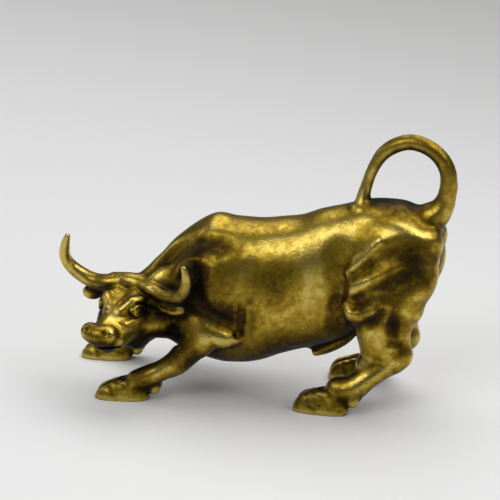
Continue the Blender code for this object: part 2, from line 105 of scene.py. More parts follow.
class Form:
    def __init__(self):
        self.steps = []

    def mass(self, centre, radii, along=(1, 0, 0), blend=6.0):
        self.steps.append(("add", Ellipsoid(centre, radii, along), blend))

    def limb(self, points, blend=4.0, steps=6):
        self.steps.append(("add", Limb(smoothPath(points, steps)), blend))

    def add(self, shape, blend):
        self.steps.append(("add", shape, blend))

    def hollow(self, centre, radii, along=(1, 0, 0), blend=3.0):
        self.steps.append(("cut", Ellipsoid(centre, radii, along), blend))

    def slot(self, points, blend=1.5, steps=4):
        self.steps.append(("cut", Limb(smoothPath(points, steps)), blend))

    def stroke(self, points, height, steps=4):
        # Raises the surface along a path by height, or lowers it where height is negative.
        self.steps.append(("stroke", Limb(smoothPath(points, steps)), height))

    def distance(self, points):
        # How far each point lies outside the blended form, and below 0 inside it.
        found = np.full(len(points), 1e3)
        for kind, shape, amount in self.steps:
            reach = {"add": 2.5 * amount + 8, "cut": 2.5 * amount + 2, "stroke": 0}[kind]
            low, high = shape.box(reach)
            near = np.flatnonzero(((points > low) & (points < high)).all(axis=1))
            if not len(near):
                continue
            if kind == "stroke":
                found[near] -= amount * shape.weight(points[near])
                continue
            there = shape.distance(points[near])
            here = found[near]
            if kind == "add":
                share = np.clip(0.5 + 0.5 * (here - there) / amount, 0, 1)
                blended = here * (1 - share) + there * share
                found[near] = blended - amount * share * (1 - share)
            else:
                share = np.clip(0.5 - 0.5 * (here + there) / amount, 0, 1)
                blended = here * (1 - share) - there * share
                found[near] = blended + amount * share * (1 - share)
        return found


class Ellipsoid:
    def __init__(self, centre, radii, along):
        self.centre = np.array(centre, float)
        self.radii = np.array(radii, float)
        self.frame = frameAlong(along)

    def box(self, reach):
        half = np.sqrt(((self.frame * self.radii[:, None]) ** 2).sum(axis=0)) + reach
        return self.centre - half, self.centre + half

    def distance(self, points):
        local = (points - self.centre) @ self.frame.T
        size = np.linalg.norm(local / self.radii, axis=1)
        slope = np.linalg.norm(local / self.radii ** 2, axis=1)
        away = size * (size - 1) / np.maximum(slope, 1e-9)
        return np.where(slope > 1e-9, away, -self.radii.min())


class Limb:
    # A round rod along a path whose radius changes on the way.

    def __init__(self, rows):
        self.rows = rows

    def box(self, reach):
        widest = self.rows[:, 3:] + reach
        return (self.rows[:, :3] - widest).min(axis=0), (self.rows[:, :3] + widest).max(axis=0)

    def nearest(self, points):
        # For each point, its distance from the path's nearest place and the radius there.
        place, radii = self.rows[:, :3], self.rows[:, 3]
        squares = (points ** 2).sum(axis=1)[:, None] + (place ** 2).sum(axis=1)
        spread = squares - 2 * points @ place.T
        first = (np.sqrt(np.maximum(spread, 0)) - radii).argmin(axis=1)
        gap = wide = None
        for index in (np.maximum(first - 1, 0), np.minimum(first, len(place) - 2)):
            start, run = place[index], place[index + 1] - place[index]
            length = np.maximum((run ** 2).sum(axis=1), 1e-9)
            share = np.clip(((points - start) * run).sum(axis=1) / length, 0, 1)
            off = np.linalg.norm(points - start - share[:, None] * run, axis=1)
            radius = radii[index] + share * (radii[index + 1] - radii[index])
            if gap is None:
                gap, wide = off, radius
            else:
                closer = off - radius < gap - wide
                gap, wide = np.where(closer, off, gap), np.where(closer, radius, wide)
        return gap, wide

    def distance(self, points):
        gap, wide = self.nearest(points)
        return gap - wide

    def weight(self, points):
        # 1 on the path, falling smoothly to 0 one radius away.
        gap, wide = self.nearest(points)
        share = np.clip(1 - gap / wide, 0, 1)
        return share * share * (3 - 2 * share)


class Barrel:
    # The trunk, by upright oval sections at stations along X: x, height of its middle,
    # half width, half height.

    def __init__(self, stations, fullness=2.2):
        self.stations = np.array(stations, float)
        self.fullness = fullness

    def box(self, reach):
        x, middle, halfWidth, halfHeight = self.stations.T
        low = (x.min(), -halfWidth.max(), (middle - halfHeight).min())
        high = (x.max(), halfWidth.max(), (middle + halfHeight).max())
        return np.array(low) - reach, np.array(high) + reach

    def section(self, x):
        # The section's middle and half sizes at x, eased between the stations.
        at = self.stations[:, 0]
        index = np.clip(np.searchsorted(at, x) - 1, 0, len(at) - 2)
        t = np.clip((x - at[index]) / (at[index + 1] - at[index]), 0, 1)[:, None]
        slopes = np.gradient(self.stations[:, 1:], at, axis=0)
        span = (at[index + 1] - at[index])[:, None]
        a, b = self.stations[index, 1:], self.stations[index + 1, 1:]
        eased = a * (1 + 2 * t) * (1 - t) ** 2 + b * t ** 2 * (3 - 2 * t)
        eased += slopes[index] * span * t * (1 - t) ** 2
        return eased - slopes[index + 1] * span * t ** 2 * (1 - t)

    def distance(self, points):
        x = np.clip(points[:, 0], self.stations[0, 0], self.stations[-1, 0])
        middle, halfWidth, halfHeight = self.section(x).T
        y = np.abs(points[:, 1]) / halfWidth
        z = np.abs(points[:, 2] - middle) / halfHeight
        n = self.fullness
        size = (y ** n + z ** n) ** (1 / n)
        slope = np.hypot(y ** (n - 1) / halfWidth, z ** (n - 1) / halfHeight)
        slope /= np.maximum(size, 1e-6) ** (n - 1)
        across = (size - 1) / np.maximum(slope, 1e-6)
        beyond = np.abs(points[:, 0] - x)
        return np.where(beyond > 0, np.hypot(np.maximum(across, 0), beyond), across)


def headFrame():
    # Rows point along the nose, to the head's left and up from the forehead.
    noseLevel = np.array((-math.cos(headTurn), -math.sin(headTurn), 0.0))
    left = np.array((math.sin(headTurn), -math.cos(headTurn), 0.0))
    nose = noseLevel * math.cos(headPitch) - np.array((0.0, 0.0, 1.0)) * math.sin(headPitch)
    return np.array((nose, left, np.cross(nose, left)))


def onHead(forward, left, up):
    return poll + np.array((forward, left, up)) @ headFrame()


def alongHead(forward, left, up):
    return np.array((forward, left, up)) @ headFrame()


def headPath(points):
    return [(onHead(*place), radius) for place, radius in points]


def buildTrunk(form):
    form.add(Barrel([(-88, 105, 18, 22), (-75, 106, 33, 38), (-60, 108, 42, 54),
                     (-46, 108.5, 46, 65.5), (-35, 107.5, 48, 71.5), (-16, 104.5, 48.5, 74),
                     (14, 106.5, 48, 72), (33, 112, 46.5, 69.5), (51, 116.7, 45, 68),
                     (69, 123, 43, 69), (92, 131, 41, 67.5), (116, 144.5, 40, 61),
                     (134, 152, 38.5, 55), (158, 158.5, 34, 45.5), (174, 161, 26, 33),
                     (186, 162, 14, 18)]), blend=8)
    # Sheath under the belly: a thin web with its tip forward
    form.limb([((106, 0, 74), 7), ((93, 0, 60), 7), ((78, 0, 50), 6.3), ((67, -1, 44), 4.2)],
              blend=4)
    form.limb([((96, 0, 78), 8), ((76, 0, 62), 7), ((61, 0, 54), 6)], blend=6)


def buildNeck(form):
    form.mass((-72, -6, 101), (32, 29, 38), along=(-0.9, -0.2, -0.1), blend=9)
    form.mass((-95, -15, 90), (26, 22, 30), along=(-0.85, -0.45, -0.1), blend=8)
    # Crest from the withers to the poll
    form.limb([((-30, 0, 161), 19), ((-45, -1, 155), 17), ((-56, -3, 149.5), 15.5),
               ((-68, -6, 140.5), 14), ((-82, -9, 126), 12), ((-96, -14, 114), 10.5),
               ((-109, -19, 105), 10)], blend=7)
    # Flat muscle between the crest and the near horn
    form.mass((-79, -25, 113), (24, 10, 17), along=(-0.8, -0.25, -0.55), blend=6)
    # Throat and brisket
    form.limb([((-96, -33, 75), 15), ((-86, -26, 74.5), 17), ((-71, -18, 71), 18),
               ((-50, -8, 57), 20), ((-28, -2, 52), 20)], blend=12)


def buildShoulders(form):
    for side in (-1, 1):
        form.mass((-30, side * 31, 117), (26, 17.5, 41), along=(1, 0, -0.28), blend=14)
        form.mass((-53, side * 30, 90), (17, 13, 22), along=(1, 0, -0.5), blend=8)
        # Upper arm from the point of the shoulder back to the elbow
        form.limb([((-57, side * 33, 84), 14), ((-42, side * 41, 79), 15.5),
                   ((-20, side * 45, 71), 11.5), ((-8, side * 43, 69), 6.5)], blend=6)


def buildHead(form):
    nose = alongHead(1, 0, 0)
    form.mass(onHead(12, 0, -23), (24, 22, 21), along=nose, blend=8)
    for side in (-1, 1):
        # Forehead
        form.limb(headPath([((0, side * 11, -9), 9), ((16, side * 11, -10), 10),
                            ((30, side * 9, -12), 9)]), blend=5)
        # Cheek, down to the jaw, and the flat side of the nose
        form.mass(onHead(21, side * 13, -36), (27, 11.5, 24), along=alongHead(1, 0, 0.25), blend=7)
        form.limb(headPath([((30, side * 15, -24), 8.5), ((46, side * 12.5, -23), 9.5),
                            ((60, side * 11, -18), 9.5)]), blend=6)
        # Eye: a hollow under the brow, and the ball in it
        slant = alongHead(0.8, -0.2 * side, 0.48)
        form.hollow(onHead(27, side * 23, -8.5), (14, 7, 7), along=slant, blend=4)
        form.limb(headPath([((10, side * 20.5, -8), 3.5), ((17, side * 19, -4), 4),
                            ((25, side * 14, -1), 4.5), ((34, side * 8.5, -3.5), 3.5)]), blend=4)
        form.mass(onHead(26.5, side * 18.5, -9), (9, 5, 6), along=slant, blend=1.5)
        # Cheek bone running forward below the eye
        form.limb(headPath([((14, side * 22, -22), 3.5), ((28, side * 21, -18), 3.5),
                            ((40, side * 16, -14), 3.5), ((50, side * 11, -11), 3)]), blend=4)
    # Bridge of the nose
    form.limb(headPath([((30, 0, -11.5), 12), ((44, 0, -14), 11.5), ((58, 0, -13), 11)]), blend=6)
    form.limb(headPath([((32, 0, -22), 14), ((48, 0, -22), 13), ((62, 0, -18), 12)]), blend=8)
    # Muzzle: one broad pad, with the nostrils cut from its upper corners
    form.limb(headPath([((66, -12, -7.5), 9.5), ((69.5, -2, -6.5), 10), ((66, 8, -7.5), 9.5)]),
              blend=4)
    for side in (-1, 1):
        form.hollow(onHead(72, side * 11 - 1.5, 1.5), (4, 2.4, 3),
                    along=alongHead(0.8, side * 0.5, 0.4), blend=2)
    # Lips and lower jaw, with the mouth between them
    form.limb(headPath([((57, -9, -25), 5.6), ((64, -1.5, -27), 6), ((57, 7, -25), 5.6)]), blend=2)
    form.limb(headPath([((57, 0, -27), 9.5), ((42, 0, -33), 11.5), ((24, 0, -43), 14.5),
                        ((6, 0, -52), 16)]), blend=6)
    form.slot(headPath([((66, -19, -19.5), 2), ((72, -11, -19), 2.6), ((74, -1.5, -19), 2.8),
                        ((71, 8, -19.5), 2.6), ((65, 15.5, -20.5), 2)]), blend=1.5)
    # Poll between the horns
    form.limb(headPath([((-1, -20, -4), 8.5), ((-2, 0, -2.5), 9.5), ((-3, 19, -5), 8.5)]), blend=4)


def buildHornsAndEars(form):
    far = [((1, -15, -3.5), 8.5), ((4.6, -25, -3), 8.6), ((5.3, -37, -3.4), 8.2),
           ((6, -46.5, 0), 7.7), ((6.7, -57, 8.7), 7), ((7, -62.7, 17.5), 6.3),
           ((7, -64, 28.5), 5.6), ((5.7, -60, 42), 4.8), ((4.4, -54.2, 54.5), 3)]
    near = [((-1, 13, -3.5), 8.5), ((2.6, 22, -2), 7.8), ((4, 30, -2.3), 7),
            ((7, 38.8, -2.5), 6.4), ((8.6, 49.8, -0.5), 6.1), ((9.3, 62, 4.6), 6.1),
            ((7.3, 70.2, 15.4), 5.7), ((4, 72.6, 27.8), 4.5), ((2, 71.2, 37.5), 2.8)]
    for path in (far, near):
        form.limb(headPath(path), blend=2.5)
    # Near ear: a stalk and a flat leaf, close under its horn
    form.limb(headPath([((8, 19, -15), 6), ((11, 32, -13), 4.6), ((13, 42, -12), 4.6)]), blend=4)
    form.mass(onHead(13.5, 51, -12), (14.5, 4.8, 6.5), along=alongHead(0.02, 1, 0.06), blend=3.5)
    # Far ear, seen end on
    form.limb(headPath([((4, -20, -16), 6), ((6, -34, -16), 5)]), blend=3)
    form.mass(onHead(9, -44, -16), (11, 6, 8), along=alongHead(0.2, -1, -0.1), blend=3)


def buildForelegs(form):
    near = [((-42, -38, 82), 19), ((-41, -43, 68), 18.5), ((-49, -46, 58), 15.5),
            ((-56, -48, 49), 13.5), ((-64, -49, 40.5), 12.3), ((-78, -50, 32), 10.3),
            ((-90, -50, 25.5), 11), ((-103, -50, 19.5), 10.5)]
    far = [((-45, 38, 80), 20), ((-52, 42, 69), 18), ((-66, 47, 61), 14.5), ((-80, 50, 53), 12.5),
           ((-91, 51, 46), 11.5), ((-108, 51, 36), 9.5), ((-124, 50, 27), 11),
           ((-141, 49, 19.5), 10.5)]
    for path in (near, far):
        form.limb(path, blend=6)
    for name in ("nearFore", "farFore"):
        buildHoof(form, *hooves[name])


def buildHindLegs(form):
    for side, name in ((-1, "nearHind"), (1, "farHind")):
        hoofX, hoofY = hooves[name][0]
        # Thigh: rump, quadriceps and hamstring
        form.mass((148, side * 26, 149), (40, 22, 45), along=(1, 0, 0.2), blend=8)
        form.mass((126, side * 37, 128), (27, 14, 36), along=(1, 0, -0.25), blend=8)
        form.limb([((168, side * 24, 164), 17), ((168, side * 27, 138), 18),
                   ((158.5, side * 28, 114), 15)], blend=7)
        # Stifle, a rounded knob at the front of the thigh
        form.limb([((104, side * 41, 112), 8), ((114, side * 43, 106), 10.5),
                   ((128, side * 45, 110), 7.5)], blend=7)
        # Shin, and behind it the tendon down to the point of the hock
        form.limb([((130, side * 32, 114), 21), ((128, side * 31, 94), 18.5),
                   ((130, side * 30, 79), 16.5), ((135, side * 28, 67), 15),
                   ((144, side * 27, 58), 13)], blend=7)
        form.limb([((126, side * 31, 84), 13), ((126, side * 30, 70), 11.5),
                   ((126, side * 31, 58), 10.5), ((122, side * 34, 48), 10)], blend=5)
        form.limb([((161, side * 28, 106), 14), ((155, side * 28, 88), 10.5),
                   ((155, side * 26, 74), 9), ((157, side * 24, 60), 8.5)], blend=9)
        form.mass((151, side * 25, 55.5), (15, 12, 13), along=(1, 0, 0.3), blend=5)
        # Knob on the outside of the hock
        form.mass((145, side * 35, 69), (8, 5, 6), along=(1, 0, -0.2), blend=4)
        # Cannon, fetlock and pastern
        ahead = hoofX - 80
        form.limb([((146, side * 26, 51), 13), ((135 + ahead * 0.3, side * 32, 44.5), 11.5),
                   ((123 + ahead * 0.6, side * 38, 36), 11.5), ((110 + ahead, hoofY, 26), 13),
                   ((96 + ahead, hoofY, 23.5), 12.5)], blend=4)
        buildHoof(form, *hooves[name])
    # Hip bones, running back to the pin bones either side of the tail
    for side in (-1, 1):
        form.mass((179.5, side * 15.5, 171), (11, 10, 15), blend=7)
        form.limb([((118, side * 13, 188), 9), ((139, side * 20, 184), 10),
                   ((158, side * 23, 180), 10.5), ((172, side * 20, 175), 11),
                   ((178, side * 15, 170), 10)], blend=8)


def hoofDirections(heading):
    # Level, ahead of the hoof and beside it.
    turn = math.radians(heading)
    ahead = np.array((math.cos(turn), math.sin(turn), 0.0))
    return ahead, np.array((-ahead[1], ahead[0], 0.0))


def buildHoof(form, foot, heading, tall, toe):
    # Two claws side by side with a cleft between them, toe high in front, two dewclaws behind.
    ahead, beside = hoofDirections(heading)
    up = np.array((0.0, 0.0, tall))
    middle = np.array((*foot, 0.0))
    slope = tuple(ahead + (0, 0, -0.35))
    for side in (-1, 1):
        claw = middle + beside * side * clawWidth * 0.75
        form.mass(claw + up * 2, (28, clawWidth, 17.5 * tall), along=slope, blend=2)
        form.mass(claw + ahead * 12 + up * 2, (15, clawWidth, toe), along=ahead, blend=3)
    form.mass(middle - ahead * 9 + up * 14, (14, 11.8, 9), along=slope, blend=3)
    form.slot([(middle + ahead * 32 - up * 2, cleft),
               (middle + ahead * 18 + up * 11, cleft * 0.92),
               (middle + ahead * 5 + up * 19.5, cleft * 0.62)], blend=2)
    for side in (-1, 1):
        dewclaw = middle - ahead * 33 + beside * side * 6 + up * 13
        form.mass(dewclaw, (5.5, 4.2, 6.5), along=(ahead[0], ahead[1], 0.8), blend=4)


def buildTail(form):
    strand = tailStrand
    form.limb([((163, 0, 180), 18), ((175, 0, 190), 16), ((185, 0, 199), 12.3),
               ((190.5, 0, 211), strand * 1.25), ((193, 0, 226), strand * 1.1),
               ((191, 0, 241), strand * 1.04), ((183, 0, 254), strand), ((170, 0, 263), strand),
               ((155, 0, 266), strand), ((140, 0, 261), strand * 0.94),
               ((128, 0, 251), strand * 0.85), ((119.5, 0, 236), strand * 0.76),
               ((114.5, -1, 221), strand * 0.76), ((111.5, -4, 208), strand * 0.9),
               ((111, -7, 200), strand)], blend=7)
    # Foot of the tail: a collar round it where it meets the back, with a knob on the near side
    form.limb([((104, -8, 201), 3.4), ((109, -14, 199), 3.4), ((116, -12, 199.5), 3.4),
               ((119, -5, 201), 3.4)], blend=2.5)
    form.mass((110, -13, 195), (5.5, 4.5, 6.5), blend=3)


def carveMuscles(form):
    # Hollows and ridges that show from a step away.
    for side in (-1, 1):
        # Flank groove before the thigh, with a pit at its foot
        form.stroke([((84, side * 50, 204), 14), ((92, side * 42, 166), 18),
                     ((96, side * 42, 140), 18), ((96, side * 41, 118), 17),
                     ((93, side * 36, 96), 15), ((90, side * 28, 78), 13)], -3.8)
        form.stroke([((92, side * 42, 112), 9), ((94, side * 40, 104), 10)], -3)
        # Thigh: the upper ridge with its hollow under the hip, then the lower ridge and the deep
        # furrow under it
        form.stroke([((103, side * 41, 146), 9), ((114, side * 43, 157), 11),
                     ((125, side * 42, 169), 10), ((133, side * 40, 178), 7)], 2.6)
        form.stroke([((110, side * 46, 143), 8), ((126, side * 48, 156), 13),
                     ((144, side * 46, 169), 17), ((166, side * 39, 172), 18),
                     ((184, side * 34, 168), 14)], -3.5)
        form.stroke([((106, side * 48, 129), 12), ((125, side * 53, 139), 18),
                     ((150, side * 50, 149), 20)], 1.6)
        form.stroke([((110, side * 52, 117), 10), ((132, side * 54, 127), 17),
                     ((154, side * 50, 136), 21), ((174, side * 44, 148), 19)], -5)
        # Below the stifle
        form.stroke([((124, side * 51, 95), 9), ((132, side * 51, 101), 11),
                     ((138, side * 50, 110), 10)], -2.5)
        # Behind the shoulder, from the ribs down to the elbow
        form.stroke([((10, side * 55, 172), 13), ((9, side * 47, 140), 13),
                     ((7, side * 50, 116), 12)], -3)
        form.stroke([((6, side * 56, 128), 6), ((3, side * 51, 108), 6), ((1, side * 48, 90), 6),
                     ((-2, side * 45, 74), 6)], -3.6)
        # Above the upper arm
        form.stroke([((-34, side * 54, 99), 12), ((-23, side * 53, 92), 12),
                     ((-8, side * 52, 86), 10)], -3)
        # Rim of the shoulder, and the broad hollow under it
        form.stroke([((-64, side * 32, 128), 7), ((-60, side * 35, 137), 7),
                     ((-50, side * 38, 143), 7.5), ((-38, side * 41, 144), 8),
                     ((-27, side * 43, 140), 8)], 4)
        form.stroke([((-56, side * 39, 129), 13), ((-47, side * 43, 122), 17),
                     ((-41, side * 47, 106), 16)], -5)
        # Long hollow under the crest, over the top of the shoulder
        form.stroke([((-84, side * 15, 128), 10), ((-66, side * 20, 143), 14),
                     ((-46, side * 25, 154), 18), ((-22, side * 31, 158), 18)], -3.5)
        # Inside of the elbow
        form.stroke([((-66, side * 42, 70), 11), ((-58, side * 46, 62), 12)], -6)


def ringPoints(centre, across, along, outward, start, end, count=9):
    # Places round an oval in the head's directions, from one angle to another.
    middle = np.array(centre) + outward
    angles = np.radians(np.linspace(start, end, count))
    return [onHead(*(middle + along * math.cos(angle) + across * math.sin(angle)))
            for angle in angles]


def carveFace(form):
    for side in (-1, 1):
        # Eye: a lid above and below the ball, and a crease beyond each
        eye = (26.5, side * 18.5, -9)
        along, outward = np.array((7.6, -1.9 * side, 4.6)), np.array((0.9, 3.6 * side, 0.9))
        across = np.cross(unit(along), unit(outward)) * side * 5.0
        for start, end, height in ((0, 180, 2.1), (180, 360, 1.5)):
            lid = ringPoints(eye, across, along, outward, start, end)
            form.stroke([(place, 1.9) for place in lid], height, steps=2)
        for start, end, wide, height in ((10, 170, 1.25, -1.8), (200, 350, 1.2, -0.9)):
            crease = ringPoints(eye, across * 1.5, along * wide, outward * 0.7, start, end)
            form.stroke([(place, 1.6) for place in crease], height, steps=2)
        # Nostril, a comma that opens outwards
        form.stroke(headPath([((72, side * 8 - 1.5, 2.5), 1.6), ((72.5, side * 12 - 1.5, 2), 2.6),
                              ((70, side * 15.5 - 1.5, -1), 2.2)]), -2.0)
        # Fold of the cheek, and the corner of the mouth
        form.stroke(headPath([((44, side * 9, 1), 1.5), ((47, side * 13, -9), 3),
                              ((46, side * 17, -20), 3), ((41, side * 20, -28), 2)]), -1.2)
        form.stroke(headPath([((56, side * 16, -15), 1.6), ((60, side * 17, -22), 2.6),
                              ((57, side * 15, -30), 1.8)]), -1.4)
    # Furrow up the middle of the forehead, wrinkles over the nose, and the line of the upper lip
    form.stroke(headPath([((8, 0, 0), 3), ((20, 0, 0), 5), ((32, 0, -1), 3)]), -0.7)
    for forward in (51, 57):
        form.stroke(headPath([((forward, -9, -7), 1.6), ((forward + 1, -1, -5), 2.4),
                              ((forward, 7, -7), 1.6)]), -0.5)
    form.stroke(headPath([((64, -19, -18), 1.2), ((72, -11, -17.5), 1.8), ((76, -1.5, -17.5), 1.8),
                          ((72, 8, -18), 1.8), ((64, 16, -19.5), 1.2)]), -1.2)


def carveHorns(form):
    # A groove along the top of each horn
    form.stroke(headPath([((2, -30, 5.5), 1.2), ((3, -42, 6), 1.6), ((3, -52, 12), 1.6),
                          ((4, -58, 19), 1.2)]), -1.0)
    form.stroke(headPath([((6, 27, 4.5), 1.2), ((10, 36, 3.5), 1.6), ((13, 46, 4.5), 1.6),
                          ((13, 55, 7), 1.2)]), -1.0)
    # Inside of the near ear
    form.stroke(headPath([((16, 40, -9), 1.5), ((17.5, 50, -9), 2.6), ((16.5, 61, -9.5), 1.5)]),
                -1.8)


def carveHooves(form):
    # The coronet, where the horn of the hoof begins, and a crease down the outside of the claw,
    # each as how far ahead, beside and up, and its radius
    for foot, heading, tall, _ in hooves.values():
        ahead, beside = hoofDirections(heading)
        middle = np.array((*foot, 0.0))
        coronet = ((9, 1, 19 * tall, 1.4), (4, 9, 17.5 * tall, 1.8), (-8, 13, 13 * tall, 1.8),
                   (-20, 11, 9 * tall, 1.4))
        crease = ((14, 6, 17 * tall, 1.4), (10, 12, 9 * tall, 2.2), (2, 14, 2, 1.6))
        for side in (-1, 1):
            for path, height in ((coronet, -1.1), (crease, -1.0)):
                form.stroke([(middle + ahead * forward + beside * side * out + (0, 0, up), radius)
                             for forward, out, up, radius in path], height)


def carveBody(form):
    # Ridge round the outside of the tail
    form.stroke([((195, 0, 196), 2.2), ((201.5, 0, 212), 2.6), ((201.5, 0, 228), 2.6),
                 ((198, 0, 245), 2.6), ((188, 0, 260), 2.6), ((172, 0, 270), 2.4),
                 ((154, 0, 273), 2.4), ((136, 0, 267.5), 2.4), ((122, 0, 255), 2.2)], 0.8)
    # Beads down the front edge of each hind cannon
    for side, ahead in ((-1, 0), (1, 19)):
        top, foot = (126 + ahead * 0.5, side * 33, 62), (106 + ahead, side * 41, 36)
        for place in np.linspace(top, foot, 9):
            form.stroke([(place + (0, 0, 1.2), 2.6), (place - (0, 0, 1.2), 2.6)], 0.7, steps=1)
    for side in (-1, 1):
        # Fold of the flank, fold behind the elbow, and ribs under the skin
        form.stroke([((100, side * 46, 150), 1.5), ((104, side * 45, 132), 2.6),
                     ((102, side * 43, 118), 1.5)], -1.0)
        form.stroke([((8, side * 52, 118), 2), ((5, side * 50, 102), 3), ((2, side * 48, 86), 3),
                     ((-2, side * 45, 74), 2)], -0.7)
        for step in range(6):
            x = 20 + step * 11
            form.stroke([((x + 4, side * 43, 150), 3), ((x + 1, side * 48, 130), 5),
                         ((x - 3, side * 49, 108), 5), ((x - 8, side * 46, 86), 3)], -0.35)


def carveFine(form):
    # Marks too small for the solid, as paths with radii and a height.
    carveFace(form)
    carveHorns(form)
    carveHooves(form)
    carveBody(form)


def bullForm():
    form = Form()
    buildTrunk(form)
    buildNeck(form)
    buildShoulders(form)
    buildForelegs(form)
    buildHindLegs(form)
    carveMuscles(form)
    buildHead(form)
    buildHornsAndEars(form)
    buildTail(form)
    carveFine(form)
    return form


skin = {
    "voxels": ((2.5, 3), (1.9, 2)),  # parts, and how often it is then settled and evened
    "weld": 1e-6,  # metres
    "longestStep": 3,  # parts that a point moves at a time
    "stepShare": 0.8,
    "headReach": 50,  # how far round the face the skin is made twice as fine
    "floorSnap": 0.15,  # points this near the floor count as on it
}


def placesAndNormals(data):
    count = len(data.vertices)
    place = np.empty(count * 3)
    normal = np.empty(count * 3, np.float32)
    data.vertices.foreach_get("co", place)
    data.vertices.foreach_get("normal", normal)
    return place.reshape(-1, 3), normal.reshape(-1, 3)


def remeshed(name, data, voxel):
    # The outer skin of the data's overlapping bodies, as one even mesh.
    holder = bpy.data.objects.new(name, data)
    bpy.context.scene.collection.objects.link(holder)
    outer = holder.modifiers.new("outer", "REMESH")
    outer.mode = "VOXEL"
    outer.voxel_size = voxel
    graph = bpy.context.evaluated_depsgraph_get()
    made = bpy.data.meshes.new_from_object(holder.evaluated_get(graph))
    bpy.data.objects.remove(holder)
    return made


def settle(data, form, rounds):
    # Moves the mesh's points along their normals onto the blended form.
    for _ in range(rounds):
        place, normal = placesAndNormals(data)
        off = np.clip(form.distance(place), -skin["longestStep"], skin["longestStep"])
        moved = place - skin["stepShare"] * off[:, None] * normal
        data.vertices.foreach_set("co", moved.ravel())
        data.update()


def smoothed(data, rounds, share=0.5):
    # Evens the mesh a little, so that no triangle stays thin or folded.
    mesh = bmesh.new()
    mesh.from_mesh(data)
    for _ in range(rounds):
        bmesh.ops.smooth_vert(mesh, verts=mesh.verts, factor=share,
                              use_axis_x=True, use_axis_y=True, use_axis_z=True)
    mesh.to_mesh(data)
    mesh.free()


def refineHead(data):
    # Makes the mesh twice as fine on the face and at the roots of the horns.
    middle = Vector(onHead(34, 2, -8))
    mesh = bmesh.new()
    mesh.from_mesh(data)
    edges = [edge for edge in mesh.edges
             if all((vert.co - middle).length < skin["headReach"] for vert in edge.verts)]
    bmesh.ops.subdivide_edges(mesh, edges=edges, cuts=1, use_grid_fill=True)
    bmesh.ops.triangulate(mesh, faces=mesh.faces)
    mesh.to_mesh(data)
    mesh.free()


def standOnFloor(data):
    # Cuts the hooves level at height 0, so that their soles are flat.
    mesh = bmesh.new()
    mesh.from_mesh(data)
    everything = [*mesh.verts, *mesh.edges, *mesh.faces]
    bmesh.ops.bisect_plane(mesh, geom=everything, dist=skin["floorSnap"], plane_co=(0, 0, 0),
                           plane_no=(0, 0, 1), clear_inner=True)
    rim = [edge for edge in mesh.edges if edge.is_boundary]
    bmesh.ops.holes_fill(mesh, edges=rim, sides=0)
    bmesh.ops.triangulate(mesh, faces=mesh.faces)
    mesh.to_mesh(data)
    mesh.free()


def toParts():
    x, y = sizes["middle"]
    return Matrix.Translation((x, y, 0)) @ Matrix.Scale(1 / sizes["part"], 4)


def skinMesh(form):
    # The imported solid, welded, then remeshed and settled on the form ever more finely.
    mesh = bmesh.new()
    mesh.from_mesh(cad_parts["bull"].data)
    bmesh.ops.remove_doubles(mesh, verts=mesh.verts, dist=skin["weld"])
    bmesh.ops.transform(mesh, matrix=toParts(), verts=mesh.verts)
    data = bpy.data.meshes.new("skin")
    mesh.to_mesh(data)
    mesh.free()
    for voxel, rounds in skin["voxels"]:
        data = remeshed("skin", data, voxel)
        for _ in range(rounds):
            settle(data, form, 1)
            smoothed(data, 1)
        settle(data, form, 2)
        print("skin at", voxel, "parts:", len(data.vertices), "points")
    refineHead(data)
    settle(data, form, 1)
    smoothed(data, 1, 0.3)
    settle(data, form, 2)
    smoothed(data, 1)
    standOnFloor(data)
    return data


# The brass is painted darker by these: crease for the patina in fine creases, hollow partly for
# patina and partly as painted shade, shade as painted shade over the wider hollows.
recesses = {
    # Name: how far out from the surface it is read, in parts
    "crease": 3.0,
    "hollow": 9.0,
    "shade": 28.0,
}


def hollowness(data, form):
    # How shut in each point is, 0 to 1, read from the form a little way out along its normal.
    place, normal = placesAndNormals(data)
    shut = {}
    for name, reach in recesses.items():
        gap = form.distance(place + normal * reach)
        shut[name] = np.clip(1 - gap / reach, 0, 1)
    # Painted shade where the surface faces down
    shut["under"] = np.clip(-normal[:, 2], 0, 1)
    return shut


ridges = {
    "full": 0.5,  # parts that a full ridge stands above its neighbours
    "reach": 3,  # rounds of neighbours
    "blur": 2,
}


def ridgeHeight(data):
    # How far each point stands above its neighbours, 0 to 1.
    place, normal = placesAndNormals(data)
    count = len(place)
    ends = np.empty(len(data.edges) * 2, np.int32)
    data.edges.foreach_get("vertices", ends)
    a, b = ends.reshape(-1, 2).T
    number = np.bincount(a, minlength=count) + np.bincount(b, minlength=count)
    found = place.copy()
    for _ in range(ridges["reach"]):
        total = np.zeros((count, 3))
        np.add.at(total, a, found[b])
        np.add.at(total, b, found[a])
        found = total / np.maximum(number, 1)[:, None]
    out = ((place - found) * normal).sum(axis=1)
    for _ in range(ridges["blur"]):
        total = np.zeros(count)
        np.add.at(total, a, out[b])
        np.add.at(total, b, out[a])
        out = 0.5 * out + 0.5 * total / np.maximum(number, 1)
    return np.clip(out / ridges["full"], 0, 1)


